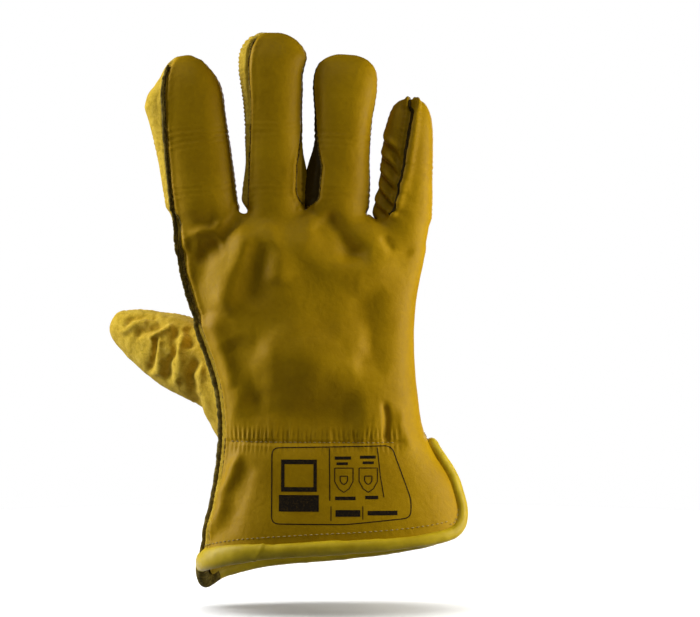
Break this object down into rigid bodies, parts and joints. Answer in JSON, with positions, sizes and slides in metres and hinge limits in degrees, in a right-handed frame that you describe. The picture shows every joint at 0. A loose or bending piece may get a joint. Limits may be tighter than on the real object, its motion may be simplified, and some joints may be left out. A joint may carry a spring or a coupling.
{
  "type": "leather work glove",
  "caption": "Lined leather work glove for the right hand, with bending fingers and thumb, an elastic wrist and a bound flaring cuff.",
  "frame": {"origin": "the centre of the wrist opening, at the mean height of the hem on the back of the hand", "axes": "+Z towards the fingertips, -Y out of the back of the hand, +Y out of the palm, +X towards the little finger"},
  "size_m": [0.1876, 0.0883, 0.2794],
  "materials": {
    "grain_leather": "golden yellow smooth grain leather, satin",
    "split_leather": "golden yellow split leather, napped and matt",
    "binding_leather": "yellow rolled leather binding, satin",
    "elastic": "natural woven elastic, matt",
    "fleece": "cream fleece, matt"
  },
  "bodies": {
    "hand": {"cuff_binding": "binding_leather", "hand_back": "grain_leather", "hand_lining": "fleece", "hand_palm": "split_leather", "wrist_elastic": "elastic"},
    "index_base": {"index_back_base": "grain_leather", "index_lining_base": "fleece", "index_outer_fourchette_base": "grain_leather", "index_palm_base": "split_leather"},
    "index_tip": {"index_back_tip": "grain_leather", "index_lining_tip": "fleece", "index_outer_fourchette_tip": "grain_leather", "index_palm_tip": "split_leather"},
    "middle_base": {"middle_back_base": "grain_leather", "middle_inner_fourchette_base": "grain_leather", "middle_lining_base": "fleece", "middle_outer_fourchette_base": "grain_leather", "middle_palm_base": "split_leather"},
    "middle_tip": {"middle_back_tip": "grain_leather", "middle_inner_fourchette_tip": "grain_leather", "middle_lining_tip": "fleece", "middle_outer_fourchette_tip": "grain_leather", "middle_palm_tip": "split_leather"},
    "ring_base": {"ring_back_base": "grain_leather", "ring_inner_fourchette_base": "grain_leather", "ring_lining_base": "fleece", "ring_outer_fourchette_base": "grain_leather", "ring_palm_base": "split_leather"},
    "ring_tip": {"ring_back_tip": "grain_leather", "ring_inner_fourchette_tip": "grain_leather", "ring_lining_tip": "fleece", "ring_outer_fourchette_tip": "grain_leather", "ring_palm_tip": "split_leather"},
    "little_base": {"little_back_base": "grain_leather", "little_inner_fourchette_base": "grain_leather", "little_lining_base": "fleece", "little_palm_base": "split_leather"},
    "little_tip": {"little_back_tip": "grain_leather", "little_inner_fourchette_tip": "grain_leather", "little_lining_tip": "fleece", "little_palm_tip": "split_leather"},
    "thumb_base": {"thumb_back_base": "split_leather", "thumb_lining_base": "fleece", "thumb_palm_base": "split_leather"},
    "thumb_tip": {"thumb_back_tip": "split_leather", "thumb_lining_tip": "fleece", "thumb_palm_tip": "split_leather"}
  },
  "joints": [
    {"name": "index_base_bend", "type": "hinge", "parent": "hand", "child": "index_base", "pos_m": [-0.0605, 0, 0.1675], "axis": [-0.9876, -0.004, -0.1571], "range_deg": [0, 60], "stiffness_Nm_per_rad": 0.05},
    {"name": "index_middle_bend", "type": "hinge", "parent": "index_base", "child": "index_tip", "pos_m": [-0.06625, 0.00092, 0.20361], "axis": [-0.9876, -0.004, -0.1571], "range_deg": [0, 70], "stiffness_Nm_per_rad": 0.025},
    {"name": "middle_base_bend", "type": "hinge", "parent": "hand", "child": "middle_base", "pos_m": [-0.025, 0, 0.168], "axis": [-0.9996, -0.0003, -0.0281], "range_deg": [0, 60], "stiffness_Nm_per_rad": 0.05},
    {"name": "middle_middle_bend", "type": "hinge", "parent": "middle_base", "child": "middle_tip", "pos_m": [-0.02615, 0.00046, 0.20894], "axis": [-0.9996, -0.0003, -0.0281], "range_deg": [0, 70], "stiffness_Nm_per_rad": 0.025},
    {"name": "ring_base_bend", "type": "hinge", "parent": "hand", "child": "ring_base", "pos_m": [0.008, 0, 0.1655], "axis": [-0.9993, 0.0005, 0.0366], "range_deg": [0, 60], "stiffness_Nm_per_rad": 0.05},
    {"name": "ring_middle_bend", "type": "hinge", "parent": "ring_base", "child": "ring_tip", "pos_m": [0.00938, 0.00046, 0.20322], "axis": [-0.9993, 0.0005, 0.0366], "range_deg": [0, 70], "stiffness_Nm_per_rad": 0.025},
    {"name": "little_base_bend", "type": "hinge", "parent": "hand", "child": "little_base", "pos_m": [0.0395, 0, 0.16], "axis": [-0.9971, 0.0035, 0.0765], "range_deg": [0, 60], "stiffness_Nm_per_rad": 0.05},
    {"name": "little_middle_bend", "type": "hinge", "parent": "little_base", "child": "little_tip", "pos_m": [0.0418, 0.00138, 0.1899], "axis": [-0.9971, 0.0035, 0.0765], "range_deg": [0, 70], "stiffness_Nm_per_rad": 0.025},
    {"name": "thumb_base_bend", "type": "hinge", "parent": "hand", "child": "thumb_base", "pos_m": [-0.042, 0.017, 0.08], "axis": [-0.3445, 0.1537, -0.9261], "range_deg": [0, 35], "stiffness_Nm_per_rad": 0.06},
    {"name": "thumb_middle_bend", "type": "hinge", "parent": "thumb_base", "child": "thumb_tip", "pos_m": [-0.07397, 0.03126, 0.09426], "axis": [-0.3445, 0.1537, -0.9261], "range_deg": [0, 45], "stiffness_Nm_per_rad": 0.03}
  ]
}
